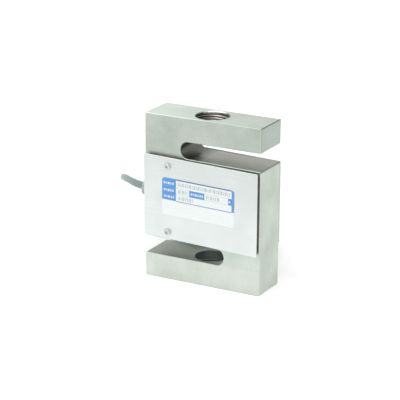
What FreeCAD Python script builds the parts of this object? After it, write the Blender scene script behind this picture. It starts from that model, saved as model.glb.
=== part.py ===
import FreeCAD, Part

import math
import os

import Sketcher

# S type load cell, in millimetres.
# The origin is on the load axis in the bottom face, +X points away from the cable gland,
# -Y is the labelled front and +Z points up.

driving = {
    # body
    "bodyWidth": 76.2,
    "bodyDepth": 25.4,
    "bodyHeight": 101.6,
    "armThickness": 14.6,  # of each arm, between its outer face and its slot
    "slotGap": 11.05,  # at the open end of each slot
    "slotTaper": 1.1,  # degrees, the slots narrow towards their round ends
    "slotWall": 23.6,  # metal beyond the round end of each slot
    "edgeBreak": 0.3,
    "threadRadius": 10.0,  # M20, over the threads
    "threadChamfer": 0.5,
    "threadRunout": 1.5,  # how far the tap comes out in the slot
    # gauge pockets, one from the front and one from the rear
    "webThickness": 4.0,
    "pocketRadius": 15.0,
    "bayReach": 30.0,  # from the load axis to the end of the wiring bay
    "bayHeight": 16.0,
    "bayCorner": 3.0,
    # cover plates and their gaskets
    "coverMargin": 0.8,  # from the body's sides
    "coverLean": 1.63,  # degrees, the top and bottom edges fall away from the gland
    "coverShiftZ": 0.45,  # from the middle of the body's height
    "coverThickness": 1.0,
    "coverCorner": 0.6,
    "coverEdgeBreak": 0.15,
    "gasketThickness": 2.0,
    "gasketSetback": 0.6,  # from the edges of the cover plate
    "gasketBorder": 7.0,  # above and below the window
    "gasketSideBorder": 4.5,
    "gasketCorner": 2.0,
    # cover screws, M2
    "screwSetback": 16.8,  # from the body's side that carries the gland
    "screwInset": 4.8,  # from the top and bottom edges of the cover plate, at its middle
    "screwRadius": 1.0,
    "screwDepth": 4.5,  # of the thread in the body
    "screwTipChamfer": 0.3,
    "screwHeadRadius": 2.0,
    "screwHeadHeight": 1.4,
    "screwHeadRim": 0.56,  # height of the head's upright side
    "screwClearance": 0.1,
    "recessSpan": 2.0,
    "recessWidth": 0.5,
    "recessDepth": 0.7,
    # rating label
    "labelWidth": 47.8,
    "labelHeight": 22.6,
    "labelShiftX": -1.0,  # from the load axis to the label's middle
    "labelShiftZ": 1.9,  # from the middle of the body's height
    "labelThickness": 0.12,
    "labelCorner": 1.8,
    # strain gauges and terminal board
    "gaugeLength": 6.0,
    "gaugeWidth": 3.6,
    "gaugeThickness": 0.2,
    "gaugeCorner": 0.45,
    "gaugeGap": 1.6,  # between the corners of two gauges
    "boardWidth": 9.0,
    "boardHeight": 12.0,
    "boardThickness": 1.0,
    "boardCorner": 0.75,
    "boardSetback": 17.5,  # from the load axis to the board's middle
    "resistorRadius": 0.8,
    "resistorLength": 4.0,
    "resistorPitch": 6.0,
    "resistorShift": 1.8,  # from the board's middle towards the gauges
    # cable gland, M8, its axis at mid-depth and mid-height
    "glandThreadRadius": 4.0,
    "glandThreadDepth": 6.0,
    "cableBoreRadius": 3.0,
    "cableBoreReach": 3.9,  # past the end of the wiring bay
    "glandClearance": 0.05,
    "washerRadius": 4.7,
    "washerThickness": 0.8,
    "acrossFlats": 9.0,
    "flangeThickness": 2.2,
    "spigotLength": 5.5,
    "stemWall": 0.55,
    "stemLength": 3.4,
    "nutGap": 0.2,  # between the nut and the flange, tightened
    "nutChamfer": 0.7,
    "nutConeAngle": 32.0,  # of the cone that takes the nut's corners off, from its end face
    "nutWall": 1.4,  # of the end wall that presses on the seal
    "nutMouthClearance": 0.6,
    "sealWall": 0.75,
    "sealLength": 2.4,
    # cable
    "cableRadius": 2.1,
    "jacketInside": 3.1,  # of the jacket inside the body
    "cableSpacing": 0.05,  # between the cable and what it lies on
    "coreRadius": 0.45,
    "coreOffset": 0.8,  # of each core from the cable's axis, both ways
    "gaugeWireRadius": 0.2,
    "solderGap": 0.02,
    # the length that is wound up
    "coilX": -21.5,
    "coilSetback": 4.2,  # from the rear cover plate
    "coilMeanRadius": 22.5,
    "coilColumns": 4,
    "coilLayers": 5,
    "tieThickness": 0.8,
    "tieWidth": 3.6,
    "tieClearance": 0.1,
    "tieHeadThickness": 2.6,
    "tieHeadHeight": 4.6,
    "tieHeadWidth": 5.0,
    "tieAngleLeft": 165.0,
    "tieAngleRight": 318.0,
}

doc = FreeCAD.newDocument("LoadCell")
sheet = doc.addObject("Spreadsheet::Sheet", "Sizes")
parts = []


class Size:
    # A number together with the sheet formula that it comes from.
    def __init__(self, formula, value):
        self.formula = formula
        self.value = value

    def joined(self, sign, other, value):
        return Size(f"({self.formula} {sign} {formulaOf(other)})", value)

    def __add__(self, other):
        return self.joined("+", other, self.value + valueOf(other))

    def __sub__(self, other):
        return self.joined("-", other, self.value - valueOf(other))

    def __mul__(self, other):
        return self.joined("*", other, self.value * valueOf(other))

    def __truediv__(self, other):
        return self.joined("/", other, self.value / valueOf(other))

    def __neg__(self):
        return Size(f"(0 - {self.formula})", -self.value)


def formulaOf(size):
    return size.formula if isinstance(size, Size) else f"({float(size):.9f})"


def valueOf(size):
    return size.value if isinstance(size, Size) else float(size)


def fillSheet():
    for row, (name, value) in enumerate(driving.items(), start=1):
        sheet.set(f"A{row}", name)
        sheet.set(f"B{row}", str(value))
        sheet.setAlias(f"B{row}", name)
    doc.recompute()


def size(name):
    return Size(f"Sizes.{name}", driving[name])


def bind(thing, **sizes):
    for name, value in sizes.items():
        thing.setExpression(name, formulaOf(value))


def newBody(label):
    body = doc.addObject("PartDesign::Body", label)
    body.Label = label
    parts.append(body)
    return body


def place(part, x=0, y=0, z=0, rotation=None):
    values = [valueOf(x), valueOf(y), valueOf(z)]
    part.Placement = FreeCAD.Placement(FreeCAD.Vector(*values), rotation or FreeCAD.Rotation())
    for axis, value in zip("xyz", (x, y, z)):
        part.setExpression(f"Placement.Base.{axis}", formulaOf(value))


def turned(x, y, z, degrees):
    return FreeCAD.Rotation(FreeCAD.Vector(x, y, z), degrees)


def newSketch(body, role, name, offset=0):
    plane = next(item for item in body.Origin.OriginFeatures if item.Role == role)
    sketch = body.newObject("Sketcher::SketchObject", name)
    sketch.AttachmentSupport = (plane, "")
    sketch.MapMode = "FlatFace"
    sketch.setExpression(".AttachmentOffset.Base.z", formulaOf(offset))
    return sketch


def pin(sketch, geometry, point, x, y):
    for kind, value in (("DistanceX", x), ("DistanceY", y)):
        index = sketch.addConstraint(Sketcher.Constraint(kind, geometry, point, valueOf(value)))
        sketch.setExpression(f"Constraints[{index}]", formulaOf(value))


def addCircle(sketch, x, y, radius):
    centre = FreeCAD.Vector(valueOf(x), valueOf(y), 0)
    circle = Part.Circle(centre, FreeCAD.Vector(0, 0, 1), valueOf(radius))
    geometry = sketch.addGeometry(circle, False)
    pin(sketch, geometry, 3, x, y)
    index = sketch.addConstraint(Sketcher.Constraint("Radius", geometry, valueOf(radius)))
    sketch.setExpression(f"Constraints[{index}]", formulaOf(radius))


def addOutline(sketch, corners):
    # Each corner is (x, y), or (x, y, through) where an arc leaves it, tangent to the edge
    # before it and passing near the point through.
    points = [FreeCAD.Vector(valueOf(c[0]), valueOf(c[1]), 0) for c in corners]
    ends = []
    for i, corner in enumerate(corners):
        start, end = points[i], points[(i + 1) % len(points)]
        if len(corner) == 2:
            edge = Part.LineSegment(start, end)
        else:
            through = FreeCAD.Vector(valueOf(corner[2][0]), valueOf(corner[2][1]), 0)
            clockwise = (through - start).cross(end - through).z < 0
            edge = Part.ArcOfCircle(*((end, through, start) if clockwise else (start, through, end)))
        geometry = sketch.addGeometry(edge, False)
        added = sketch.Geometry[geometry]
        forward = (added.StartPoint - start).Length < (added.EndPoint - start).Length
        ends.append((geometry, 1, 2) if forward else (geometry, 2, 1))
    for i, corner in enumerate(corners):
        geometry, first, _ = ends[i]
        before, _, last = ends[i - 1]
        kind = "Coincident" if len(corner) == 2 else "Tangent"
        sketch.addConstraint(Sketcher.Constraint(kind, before, last, geometry, first))
        pin(sketch, geometry, first, corner[0], corner[1])


def addRoundedRectangle(sketch, halfWidth, halfHeight, corner, x=0, y=0, slope=0):
    # With a slope the top and bottom edges rise towards +X, and the sides stay upright.
    bulge = corner * (1 - math.sqrt(0.5))
    corners = []
    for signX, signY in ((1, -1), (1, 1), (-1, 1), (-1, -1)):
        sideX = halfWidth * signX + x
        sideY = halfHeight * signY + y
        through = (sideX - bulge * signX, sideY - bulge * signY)
        alongX = (sideX - corner * signX, sideY)
        alongY = (sideX, sideY - corner * signY)
        first, last = (alongX, alongY) if signX != signY else (alongY, alongX)
        through, first, last = [
            (across, across * slope + up) for across, up in (through, first, last)
        ]
        corners.append((first[0], first[1], through))
        corners.append(last)
    addOutline(sketch, corners)


def addPad(body, sketch, length, symmetric=False):
    pad = body.newObject("PartDesign::Pad", "Pad")
    pad.Profile = sketch
    pad.SideType = "Symmetric" if symmetric else "One side"
    bind(pad, Length=length)
    return pad


def addPocket(body, sketch, depth, reversed=False):
    pocket = body.newObject("PartDesign::Pocket", "Pocket")
    pocket.Profile = sketch
    pocket.Reversed = reversed
    bind(pocket, Length=depth)
    return pocket


def addTurned(body, kind, sketch):
    # A revolution or groove about the sketch's vertical axis.
    feature = body.newObject(f"PartDesign::{kind}", kind)
    feature.Profile = sketch
    feature.ReferenceAxis = (sketch, ["V_Axis"])
    feature.Angle = 360
    return feature


def addEdgeBreak(body, base, width):
    chamfer = body.newObject("PartDesign::Chamfer", "EdgeBreak")
    chamfer.Base = (base, ["Face1"])
    chamfer.UseAllEdges = True
    bind(chamfer, Size=width)
    return chamfer


halfWidth = size("bodyWidth") / 2
halfDepth = size("bodyDepth") / 2
height = size("bodyHeight")
middle = height / 2
arm = size("armThickness")
gap = size("slotGap")
halfBlock = middle - arm - gap
coverZ = middle + size("coverShiftZ")
coverSlope = math.tan(math.radians(driving["coverLean"]))
screwX = size("screwSetback") - halfWidth
halfScrewSpacing = halfBlock - size("screwInset")
screwHoleRadius = size("screwRadius") + size("screwClearance")
outerFace = halfDepth + size("gasketThickness") + size("coverThickness")
webFace = size("webThickness") / 2
facingRear = turned(1, 0, 0, 180)
glandTurn = turned(0, 1, 0, -90)
gaugeX = ((size("gaugeLength") + size("gaugeWidth")) * math.sqrt(0.5) + size("gaugeGap")) / 2


def makeBody():
    body = newBody("body")
    # Each slot ends in a round that touches the arm's face and the tapered face beside it.
    taper = math.radians(driving["slotTaper"])
    reach = size("bodyWidth") - size("slotWall")
    slotRadius = (gap * math.cos(taper) - reach * math.sin(taper)) / (
        1 + math.cos(taper) - math.sin(taper)
    )
    slotX = size("slotWall") + slotRadius - halfWidth
    slotZ = arm + slotRadius
    taperX = slotX - slotRadius * math.sin(taper)
    taperZ = slotZ + slotRadius * math.cos(taper)
    outline = newSketch(body, "XZ_Plane", "SOutline")
    upperRound = (slotX - slotRadius, height - slotZ)
    lowerRound = (slotRadius - slotX, slotZ)
    addOutline(outline, [
        (-halfWidth, 0),
        (halfWidth, 0),
        (halfWidth, height - arm - gap),
        (taperX, height - taperZ, upperRound),
        (slotX, height - arm),
        (halfWidth, height - arm),
        (halfWidth, height),
        (-halfWidth, height),
        (-halfWidth, arm + gap),
        (-taperX, taperZ, lowerRound),
        (-slotX, arm),
        (-halfWidth, arm),
    ])
    block = addPad(body, outline, size("bodyDepth"), symmetric=True)
    doc.recompute()
    addEdgeBreak(body, block, size("edgeBreak"))
    cutThreadBores(body)
    front = cutFrontPockets(body)
    both = body.newObject("PartDesign::Mirrored", "RearPockets")
    both.Originals = front
    both.MirrorPlane = (next(o for o in body.Origin.OriginFeatures if o.Role == "XZ_Plane"), [""])
    body.Tip = both
    cutGlandBore(body)


def cutThreadBores(body):
    radius = size("threadRadius")
    chamfer = size("threadChamfer")
    for face, side in ((height, 1), (height * 0, -1)):
        profile = newSketch(body, "XZ_Plane", "ThreadBore")
        inner = face - (arm + size("threadRunout")) * side
        addOutline(profile, [
            (0, inner),
            (radius, inner),
            (radius, face - chamfer * side),
            (radius + chamfer, face),
            (radius + chamfer, face + chamfer * side),
            (0, face + chamfer * side),
        ])
        addTurned(body, "Groove", profile)


def cutFrontPockets(body):
    depth = halfDepth - webFace
    well = newSketch(body, "XZ_Plane", "GaugeWell", halfDepth)
    addCircle(well, 0, middle, size("pocketRadius"))
    bay = newSketch(body, "XZ_Plane", "WiringBay", halfDepth)
    reach = size("bayReach")
    addRoundedRectangle(bay, reach / 2, size("bayHeight") / 2, size("bayCorner"), -reach / 2, middle)
    holes = newSketch(body, "XZ_Plane", "ScrewHoles", halfDepth)
    for side in (-1, 1):
        addCircle(holes, screwX, coverZ + halfScrewSpacing * side, screwHoleRadius)
    return [
        addPocket(body, well, depth),
        addPocket(body, bay, depth),
        addPocket(body, holes, size("screwDepth") + size("screwClearance")),
    ]


def cutGlandBore(body):
    for name, radius, depth in (
        ("GlandThread", size("glandThreadRadius"), size("glandThreadDepth")),
        ("CableBore", size("cableBoreRadius"), halfWidth - size("bayReach") + size("cableBoreReach")),
    ):
        hole = newSketch(body, "YZ_Plane", name, -halfWidth)
        addCircle(hole, 0, middle, radius)
        addPocket(body, hole, depth, reversed=True)


def makePlate(
    label, plateWidth, plateHeight, corner, thickness, holes=(), window=None, slope=0,
):
    # A flat piece whose seat is the local XZ plane and whose thickness grows towards -Y.
    body = newBody(label)
    sketch = newSketch(body, "XZ_Plane", "Outline")
    addRoundedRectangle(sketch, plateWidth / 2, plateHeight / 2, corner, slope=slope)
    for x, z, radius in holes:
        addCircle(sketch, x, z, radius)
    if window:
        addRoundedRectangle(sketch, *window)
    return body, addPad(body, sketch, thickness)


def makeCovers():
    coverWidth = size("bodyWidth") - size("coverMargin") * 2
    coverHeight = halfBlock * 2
    gasketWidth = coverWidth - size("gasketSetback") * 2
    gasketHeight = coverHeight - size("gasketSetback") * 2
    holes = [(screwX, halfScrewSpacing * side, screwHoleRadius) for side in (-1, 1)]
    window = (
        gasketWidth / 2 - size("gasketSideBorder"),
        gasketHeight / 2 - size("gasketBorder"),
        size("gasketCorner"),
    )
    for name, side, rotation in (("front", -1, None), ("rear", 1, facingRear)):
        slope = coverSlope * side
        gasket, _ = makePlate(
            f"{name}_gasket", gasketWidth, gasketHeight, size("gasketCorner"),
            size("gasketThickness"), holes, window, slope,
        )
        place(gasket, 0, halfDepth * side, coverZ, rotation)
        cover, plate = makePlate(
            f"{name}_cover_plate", coverWidth, coverHeight, size("coverCorner"),
            size("coverThickness"), holes, slope=slope,
        )
        doc.recompute()
        addEdgeBreak(cover, plate, size("coverEdgeBreak"))
        place(cover, 0, (halfDepth + size("gasketThickness")) * side, coverZ, rotation)


def makeScrew(label):
    # A pan head screw along the local Z axis, its head resting on z = 0.
    body = newBody(label)
    shank = size("screwRadius")
    chamfer = size("screwTipChamfer")
    head = size("screwHeadRadius")
    flat = (size("recessSpan") + size("recessWidth")) / 2
    top = size("screwHeadHeight")
    rim = size("screwHeadRim")
    crown = ((head - flat) * (head - flat) + (top - rim) * (top - rim)) / ((head - flat) * 2)
    crownPoint = (head - crown * (1 - math.sqrt(0.5)), rim + crown * math.sqrt(0.5))
    tip = -(size("coverThickness") + size("gasketThickness") + size("screwDepth"))
    profile = newSketch(body, "XZ_Plane", "Profile")
    addOutline(profile, [
        (0, tip),
        (shank - chamfer, tip),
        (shank, tip + chamfer),
        (shank, 0),
        (head, 0),
        (head, rim, crownPoint),
        (flat, top),
        (0, top),
    ])
    addTurned(body, "Revolution", profile)
    recess = newSketch(body, "XY_Plane", "CrossRecess", top)
    far = size("recessSpan") / 2
    near = size("recessWidth") / 2
    corners = []
    for quarter in ((1, 0, 0, 1), (0, -1, 1, 0), (-1, 0, 0, -1), (0, 1, -1, 0)):
        for x, y in ((far, -near), (far, near), (near, near)):
            corners.append((x * quarter[0] + y * quarter[1], x * quarter[2] + y * quarter[3]))
    addOutline(recess, corners)
    addPocket(body, recess, size("recessDepth"))
    return body


def makeScrews():
    for name, side, tilt in (("front", -1, 90), ("rear", 1, -90)):
        for level, sign, twist in (("upper", 1, 20), ("lower", -1, 65)):
            screw = makeScrew(f"{name}_screw_{level}")
            rotation = turned(1, 0, 0, tilt).multiply(turned(0, 0, 1, twist))
            place(screw, screwX, outerFace * side, coverZ + halfScrewSpacing * sign, rotation)


def makeLabel():
    label, _ = makePlate(
        "rating_label", size("labelWidth"), size("labelHeight"), size("labelCorner"),
        size("labelThickness"), slope=-coverSlope,
    )
    place(label, size("labelShiftX"), -outerFace, middle + size("labelShiftZ"))


def makeGauges():
    # Two gauges on each face of the web, at 45 degrees to the load, where it shears most.
    for name, side in (("front", -1), ("rear", 1)):
        for slope, sign in (("rising", -1), ("falling", 1)):
            gauge, _ = makePlate(
                f"{name}_gauge_{slope}", size("gaugeLength"), size("gaugeWidth"),
                size("gaugeCorner"), size("gaugeThickness"),
            )
            rotation = turned(0, 1, 0, 45 * sign)
            if side > 0:
                rotation = rotation.multiply(facingRear)
            place(gauge, gaugeX * sign, webFace * side, middle, rotation)


def makeTerminalBoard():
    board, _ = makePlate(
        "terminal_board", size("boardWidth"), size("boardHeight"), size("boardCorner"),
        size("boardThickness"),
    )
    place(board, -size("boardSetback"), -webFace, middle)
    radius = size("resistorRadius")
    for name, side in (("zero_resistor", 1), ("span_resistor", -1)):
        resistor = doc.addObject("Part::Cylinder", name)
        resistor.Label = name
        bind(resistor, Radius=radius, Height=size("resistorLength"))
        place(
            resistor,
            size("resistorShift") - size("boardSetback") - size("resistorLength") / 2,
            -webFace - size("boardThickness") - radius,
            middle + size("resistorPitch") / 2 * side,
            turned(0, 1, 0, 90),
        )
        parts.append(resistor)


def addHexagon(sketch, flats):
    corner = flats / (2 * math.cos(math.radians(30)))
    addOutline(sketch, [
        (corner * math.cos(math.radians(60 * i)), corner * math.sin(math.radians(60 * i)))
        for i in range(6)
    ])


def addChamferCut(body, flats, end, chamfer):
    # Turns the corners of a hexagon down to a cone at its outer end.
    rim = flats / 2
    corner = flats / (2 * math.cos(math.radians(30))) + chamfer
    slope = math.tan(math.radians(driving["nutConeAngle"]))
    cut = newSketch(body, "XZ_Plane", "CornerCone")
    addOutline(cut, [
        (rim - chamfer / 2, end),
        (corner, end - (corner - rim + chamfer / 2) * slope),
        (corner, end + chamfer),
        (rim - chamfer / 2, end + chamfer),
    ])
    addTurned(body, "Groove", cut)


def addSteppedBore(body, steps):
    # steps are (radius, from, to) along the local Z axis, one after another.
    bore = newSketch(body, "XZ_Plane", "Bore")
    corners = [(0, steps[0][1])]
    for radius, low, high in steps:
        corners += [(radius, low), (radius, high)]
    corners.append((0, steps[-1][2]))
    addOutline(bore, corners)
    addTurned(body, "Groove", bore)


def makeRing(label, outer, inner, length):
    body = newBody(label)
    sketch = newSketch(body, "XY_Plane", "Rings")
    addCircle(sketch, 0, 0, outer)
    addCircle(sketch, 0, 0, inner)
    addPad(body, sketch, length)
    return body


def makeGland():
    clear = size("glandClearance")
    flats = size("acrossFlats")
    flange = size("flangeThickness")
    stem = size("stemLength")
    cableHole = size("cableRadius") + clear * 2
    spigotRadius = size("glandThreadRadius") - clear
    sealRadius = size("cableRadius") + clear + size("sealWall")
    stemRadius = sealRadius + clear + size("stemWall")
    nutMouth = size("cableRadius") + size("nutMouthClearance")
    past = size("flangeThickness")  # how far a cut runs out beyond an end face
    sealPocket = flange + stem - size("sealLength")
    seat = -halfWidth - size("washerThickness")

    washer = makeRing(
        "gland_washer", size("washerRadius"), size("glandThreadRadius"), size("washerThickness"),
    )
    place(washer, -halfWidth, 0, middle, glandTurn)

    body = newBody("gland_body")
    hexagon = newSketch(body, "XY_Plane", "Flange")
    addHexagon(hexagon, flats)
    addPad(body, hexagon, flange)
    shaft = newSketch(body, "XZ_Plane", "Shaft")
    spigotEnd = -(size("washerThickness") + size("spigotLength"))
    addOutline(shaft, [
        (0, spigotEnd),
        (spigotRadius, spigotEnd),
        (spigotRadius, 0),
        (stemRadius, 0),
        (stemRadius, flange + stem),
        (0, flange + stem),
    ])
    addTurned(body, "Revolution", shaft)
    addSteppedBore(body, [
        (cableHole, spigotEnd - past, sealPocket),
        (sealRadius + clear, sealPocket, flange + stem + past),
    ])
    place(body, seat, 0, middle, glandTurn)

    seal = makeRing("gland_seal", sealRadius, size("cableRadius") + clear, size("sealLength"))
    place(seal, seat - sealPocket, 0, middle, glandTurn)

    nut = newBody("gland_nut")
    wallStart = stem - size("nutGap")
    nutLength = wallStart + size("nutWall")
    hexagon = newSketch(nut, "XY_Plane", "Hexagon")
    addHexagon(hexagon, flats)
    addPad(nut, hexagon, nutLength)
    addChamferCut(nut, flats, nutLength, size("nutChamfer"))
    addSteppedBore(nut, [
        (stemRadius + clear, -past, wallStart),
        (nutMouth, wallStart, nutLength + past),
    ])
    place(nut, seat - flange - size("nutGap"), 0, middle, glandTurn)


def pathThrough(label, points):
    # Straight runs joined by tangent arcs, each as large as its two runs allow.
    points = [FreeCAD.Vector(*point) for point in points]
    edges = []
    start = points[0]
    radii = []
    for before, corner, after in zip(points, points[1:], points[2:]):
        arriving = (corner - before).normalize()
        leaving = (after - corner).normalize()
        tangent = 0.45 * min((corner - before).Length, (after - corner).Length)
        halfTurn = arriving.getAngle(leaving) / 2
        radius = tangent / math.tan(halfTurn)
        inward = (leaving - arriving).normalize()
        centre = corner + inward * (radius / math.cos(halfTurn))
        first = corner - arriving * tangent
        last = corner + leaving * tangent
        edges.append(Part.LineSegment(start, first).toShape())
        edges.append(Part.Arc(first, centre - inward * radius, last).toShape())
        start = last
        radii.append(radius)
    edges.append(Part.LineSegment(start, points[-1]).toShape())
    if radii:
        print(label, "bend radii", [round(radius, 1) for radius in radii])
    return Part.Wire(edges)


def tubeAlong(label, points, radius):
    path = pathThrough(label, points)
    start = FreeCAD.Vector(*points[0])
    direction = FreeCAD.Vector(*points[1]) - start
    ring = Part.Wire(Part.Circle(start, direction, radius).toShape())
    tube = path.makePipeShell([ring], True, False)
    expected = math.pi * radius**2 * path.Length
    if abs(tube.Volume - expected) > 0.01 * expected:
        raise ValueError(f"{label} has a volume of {tube.Volume:.2f} and not {expected:.2f}")
    return tube


def addShape(label, shape):
    feature = doc.addObject("Part::Feature", label)
    feature.Label = label
    feature.Shape = shape
    feature.Placement = FreeCAD.Placement()
    parts.append(feature)


coilBase = size("tieThickness") + size("tieClearance")
coilHeight = size("cableRadius") * 2 * size("coilLayers")
coilHalfWidth = size("cableRadius") * size("coilColumns")
coilY = outerFace + size("coilSetback") + coilHalfWidth + size("coilMeanRadius")
onCoil = (coilBase + coilHeight + size("cableRadius") + size("cableSpacing")).value
onBench = (size("cableRadius") + size("cableSpacing")).value
besideCoil = (coilHalfWidth + size("cableRadius")).value
cableEnd = (size("jacketInside") - halfWidth).value
glandMouth = (
    -halfWidth - size("washerThickness") - size("flangeThickness") - size("stemLength")
    - size("nutWall")
).value


def roundCoil(radius, degrees, z):
    angle = math.radians(degrees)
    reach = size("coilMeanRadius").value + radius
    return (driving["coilX"] + reach * math.cos(angle), coilY.value + reach * math.sin(angle), z)


# The free stretch: out of the gland to the left, round to the rear and down onto the coil.
leadRoute = [
    (cableEnd, 0, middle.value),
    (glandMouth - 3.8, 0, middle.value),
    (-61.6, 6.0, 52.4),
    (-71.2, 16.2, 49.6),
    (-76.6, 29.6, 43.6),
    (-77.0, 42.6, 36.6),
    (-69.6, 54.0, 30.6),
    (-57.6, 62.4, 27.0),
    (-44.6, 69.2, 24.9),
    roundCoil(2.7, 112.0, onCoil),
    roundCoil(2.1, 83.7, onCoil),
]

# The stripped end: off the coil's lowest outer turn and round beside it on the bench.
tailRoute = [
    roundCoil(besideCoil + 0.6, 71.5, onBench + coilBase.value),
    roundCoil(besideCoil + 0.8, 53.0, onBench),
    roundCoil(besideCoil + 1.0, 35.0, onBench),
    roundCoil(besideCoil + 2.0, 17.0, onBench),
    roundCoil(besideCoil + 5.2, 0.0, onBench),
]


def makeCable():
    radius = driving["cableRadius"]
    addShape("cable_lead", tubeAlong("cable_lead", leadRoute, radius))
    addShape("cable_tail", tubeAlong("cable_tail", tailRoute, radius))

    coil = newBody("cable_coil")
    section = newSketch(coil, "XZ_Plane", "Section")
    addRoundedRectangle(
        section, coilHalfWidth, coilHeight / 2, size("cableRadius"),
        size("coilMeanRadius"), coilHeight / 2,
    )
    addTurned(coil, "Revolution", section)
    place(coil, size("coilX"), coilY, coilBase)


def makeTies():
    clear = size("tieClearance")
    thick = size("tieThickness")
    bow = size("tieWidth") * size("tieWidth") / ((size("coilMeanRadius") - coilHalfWidth) * 8)
    innerWidth = coilHalfWidth + clear + bow
    innerHeight = coilHeight / 2 + clear
    corner = size("cableRadius")
    for side in ("Left", "Right"):
        tie = newBody(f"coil_tie_{side.lower()}")
        strap = newSketch(tie, "XZ_Plane", "Strap")
        x = size("coilMeanRadius")
        z = coilHeight / 2
        addRoundedRectangle(strap, innerWidth, innerHeight, corner, x, z)
        addRoundedRectangle(strap, innerWidth + thick, innerHeight + thick, corner + thick, x, z)
        addPad(tie, strap, size("tieWidth"), symmetric=True)
        head = newSketch(tie, "XZ_Plane", "Head")
        headX = x + innerWidth + thick
        addRoundedRectangle(
            head, size("tieHeadThickness") / 2, size("tieHeadHeight") / 2, thick / 2,
            headX + size("tieHeadThickness") / 2 - thick / 2, z,
        )
        addPad(tie, head, size("tieHeadWidth"), symmetric=True)
        place(tie, size("coilX"), coilY, coilBase, turned(0, 0, 1, driving[f"tieAngle{side}"]))


def makeTailCores():
    # Four cores fan out of the jacket's cut end, each with a bare tip. The columns are the
    # core's side and level in the cable, how far it drifts sideways and the slope it ends at.
    radius = driving["coreRadius"]
    end = FreeCAD.Vector(*tailRoute[-1])
    forward = end - FreeCAD.Vector(*tailRoute[-2])
    forward.z = 0
    forward.normalize()
    across = FreeCAD.Vector(-forward.y, forward.x, 0)
    onFloor = radius + driving["cableSpacing"]
    offset = radius * 2
    root, sweep, fall, lie, bareTip = 1.6, 3.0, 3.4, 3.8, 2.5
    for colour, side, level, drift, spread in (
        ("red", -1, 1, -1.2, -0.42),
        ("green", -1, -1, -0.2, -0.14),
        ("white", 1, -1, 0.2, 0.10),
        ("black", 1, 1, 1.2, 0.38),
    ):
        start = end + across * (offset * side) + FreeCAD.Vector(0, 0, offset * level)
        heading = forward + across * spread
        straight = start + forward * root
        bend = straight + forward * sweep + across * drift
        bend.z = (start.z + onFloor) / 2 + radius / 2
        landing = bend + heading * fall
        landing.z = onFloor
        tip = landing + (heading + across * spread * 0.4) * lie
        tip.z = onFloor
        label = f"tail_core_{colour}"
        points = [tuple(point) for point in (start, straight, bend, landing, tip)]
        insulation = tubeAlong(label, points, radius)
        bare = Part.makeCylinder(radius * 0.55, bareTip, tip, tip - landing)
        addShape(label, insulation.fuse(bare))


def makeInnerCores():
    # From the jacket's cut end inside the body, through the bore, to the terminal board.
    # padShare is each core's place on the board, as a share of half its height.
    radius = driving["coreRadius"]
    offset = driving["coreOffset"]
    onBoard = -(webFace + size("boardThickness") + size("solderGap")).value - radius
    padX = -(size("boardSetback") + size("boardWidth") / 4).value
    bayEnd = -driving["bayReach"]
    approach = (padX - bayEnd) * 0.43
    level = middle.value
    for colour, side, row, padShare in (
        ("red", -1, 1, 0.7),
        ("green", 1, 1, 0.25),
        ("white", 1, -1, -0.25),
        ("black", -1, -1, -0.7),
    ):
        pad = padShare * driving["boardHeight"] / 2
        addShape(f"inner_core_{colour}", tubeAlong(f"inner_core_{colour}", [
            (cableEnd, offset * side, level + offset * row),
            (bayEnd, offset * side, level + offset * row),
            (padX - approach, onBoard - radius * 2, level + pad * 0.7),
            (padX, onBoard, level + pad),
        ], radius))


def makeGaugeWires():
    # Points are counted from the board's and the gauges' edges, in steps of a sixth of a gauge.
    radius = driving["gaugeWireRadius"]
    step = driving["gaugeLength"] / 6
    level = middle.value
    onBoard = -(webFace + size("boardThickness") + size("solderGap")).value - radius
    onGauge = (webFace + size("gaugeThickness") + size("solderGap")).value + radius
    boardRight = (size("boardWidth") / 2 - size("boardSetback")).value
    boardLeft = boardRight - driving["boardWidth"]
    boardSide = driving["boardHeight"] * 0.45
    gauge = gaugeX.value
    # The cable bore is wider than the web, so it opens a window in it at the bay's end.
    window = -driving["bayReach"] + radius * 3
    windowHalf = math.sqrt(driving["cableBoreRadius"]**2 - webFace.value**2) - radius * 1.4
    routes = {
        "front_wires_rising": [
            (boardRight - step, onBoard, level + step * 1.2),
            (boardRight + step * 1.4, onBoard, level + step * 1.4),
            (-gauge - step * 3.2, -onGauge - step * 0.3, level + step * 0.4),
            (-gauge - step * 0.6, -onGauge, level),
        ],
        "front_wires_falling": [
            (boardRight - step, onBoard, level - step * 1.2),
            (boardRight + step * 1.6, onBoard, level - step * 2.4),
            (-step * 2.2, -onGauge - step * 0.6, level - step * 5.2),
            (gauge - step * 2.4, -onGauge - step * 0.5, level - step * 3.6),
            (gauge - step * 0.6, -onGauge, level),
        ],
        "rear_wires_rising": [
            (boardLeft + step * 1.4, onBoard, level + boardSide),
            (window + step * 2.2, onBoard - step * 0.3, level + boardSide * 0.85),
            (window, onBoard, level + windowHalf),
            (window, -onBoard, level + windowHalf),
            (window + step * 4.2, onGauge + step, level + step * 3.4),
            (boardRight - step * 3.0, onGauge + step * 0.6, level + step * 2.6),
            (-gauge - step * 3.2, onGauge + step * 0.3, level + step * 0.6),
            (-gauge - step * 0.6, onGauge, level),
        ],
        "rear_wires_falling": [
            (boardLeft + step * 1.4, onBoard, level - boardSide),
            (window + step * 2.2, onBoard - step * 0.3, level - boardSide * 0.85),
            (window, onBoard, level - windowHalf),
            (window, -onBoard, level - windowHalf),
            (window + step * 4.2, onGauge + step, level - step * 3.4),
            (boardRight - step * 3.0, onGauge + step * 0.6, level - step * 5.0),
            (-step * 2.2, onGauge + step * 0.6, level - step * 5.4),
            (gauge - step * 2.4, onGauge + step * 0.5, level - step * 3.4),
            (gauge - step * 0.6, onGauge, level),
        ],
    }
    for label, route in routes.items():
        addShape(label, tubeAlong(label, route, radius))


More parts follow.
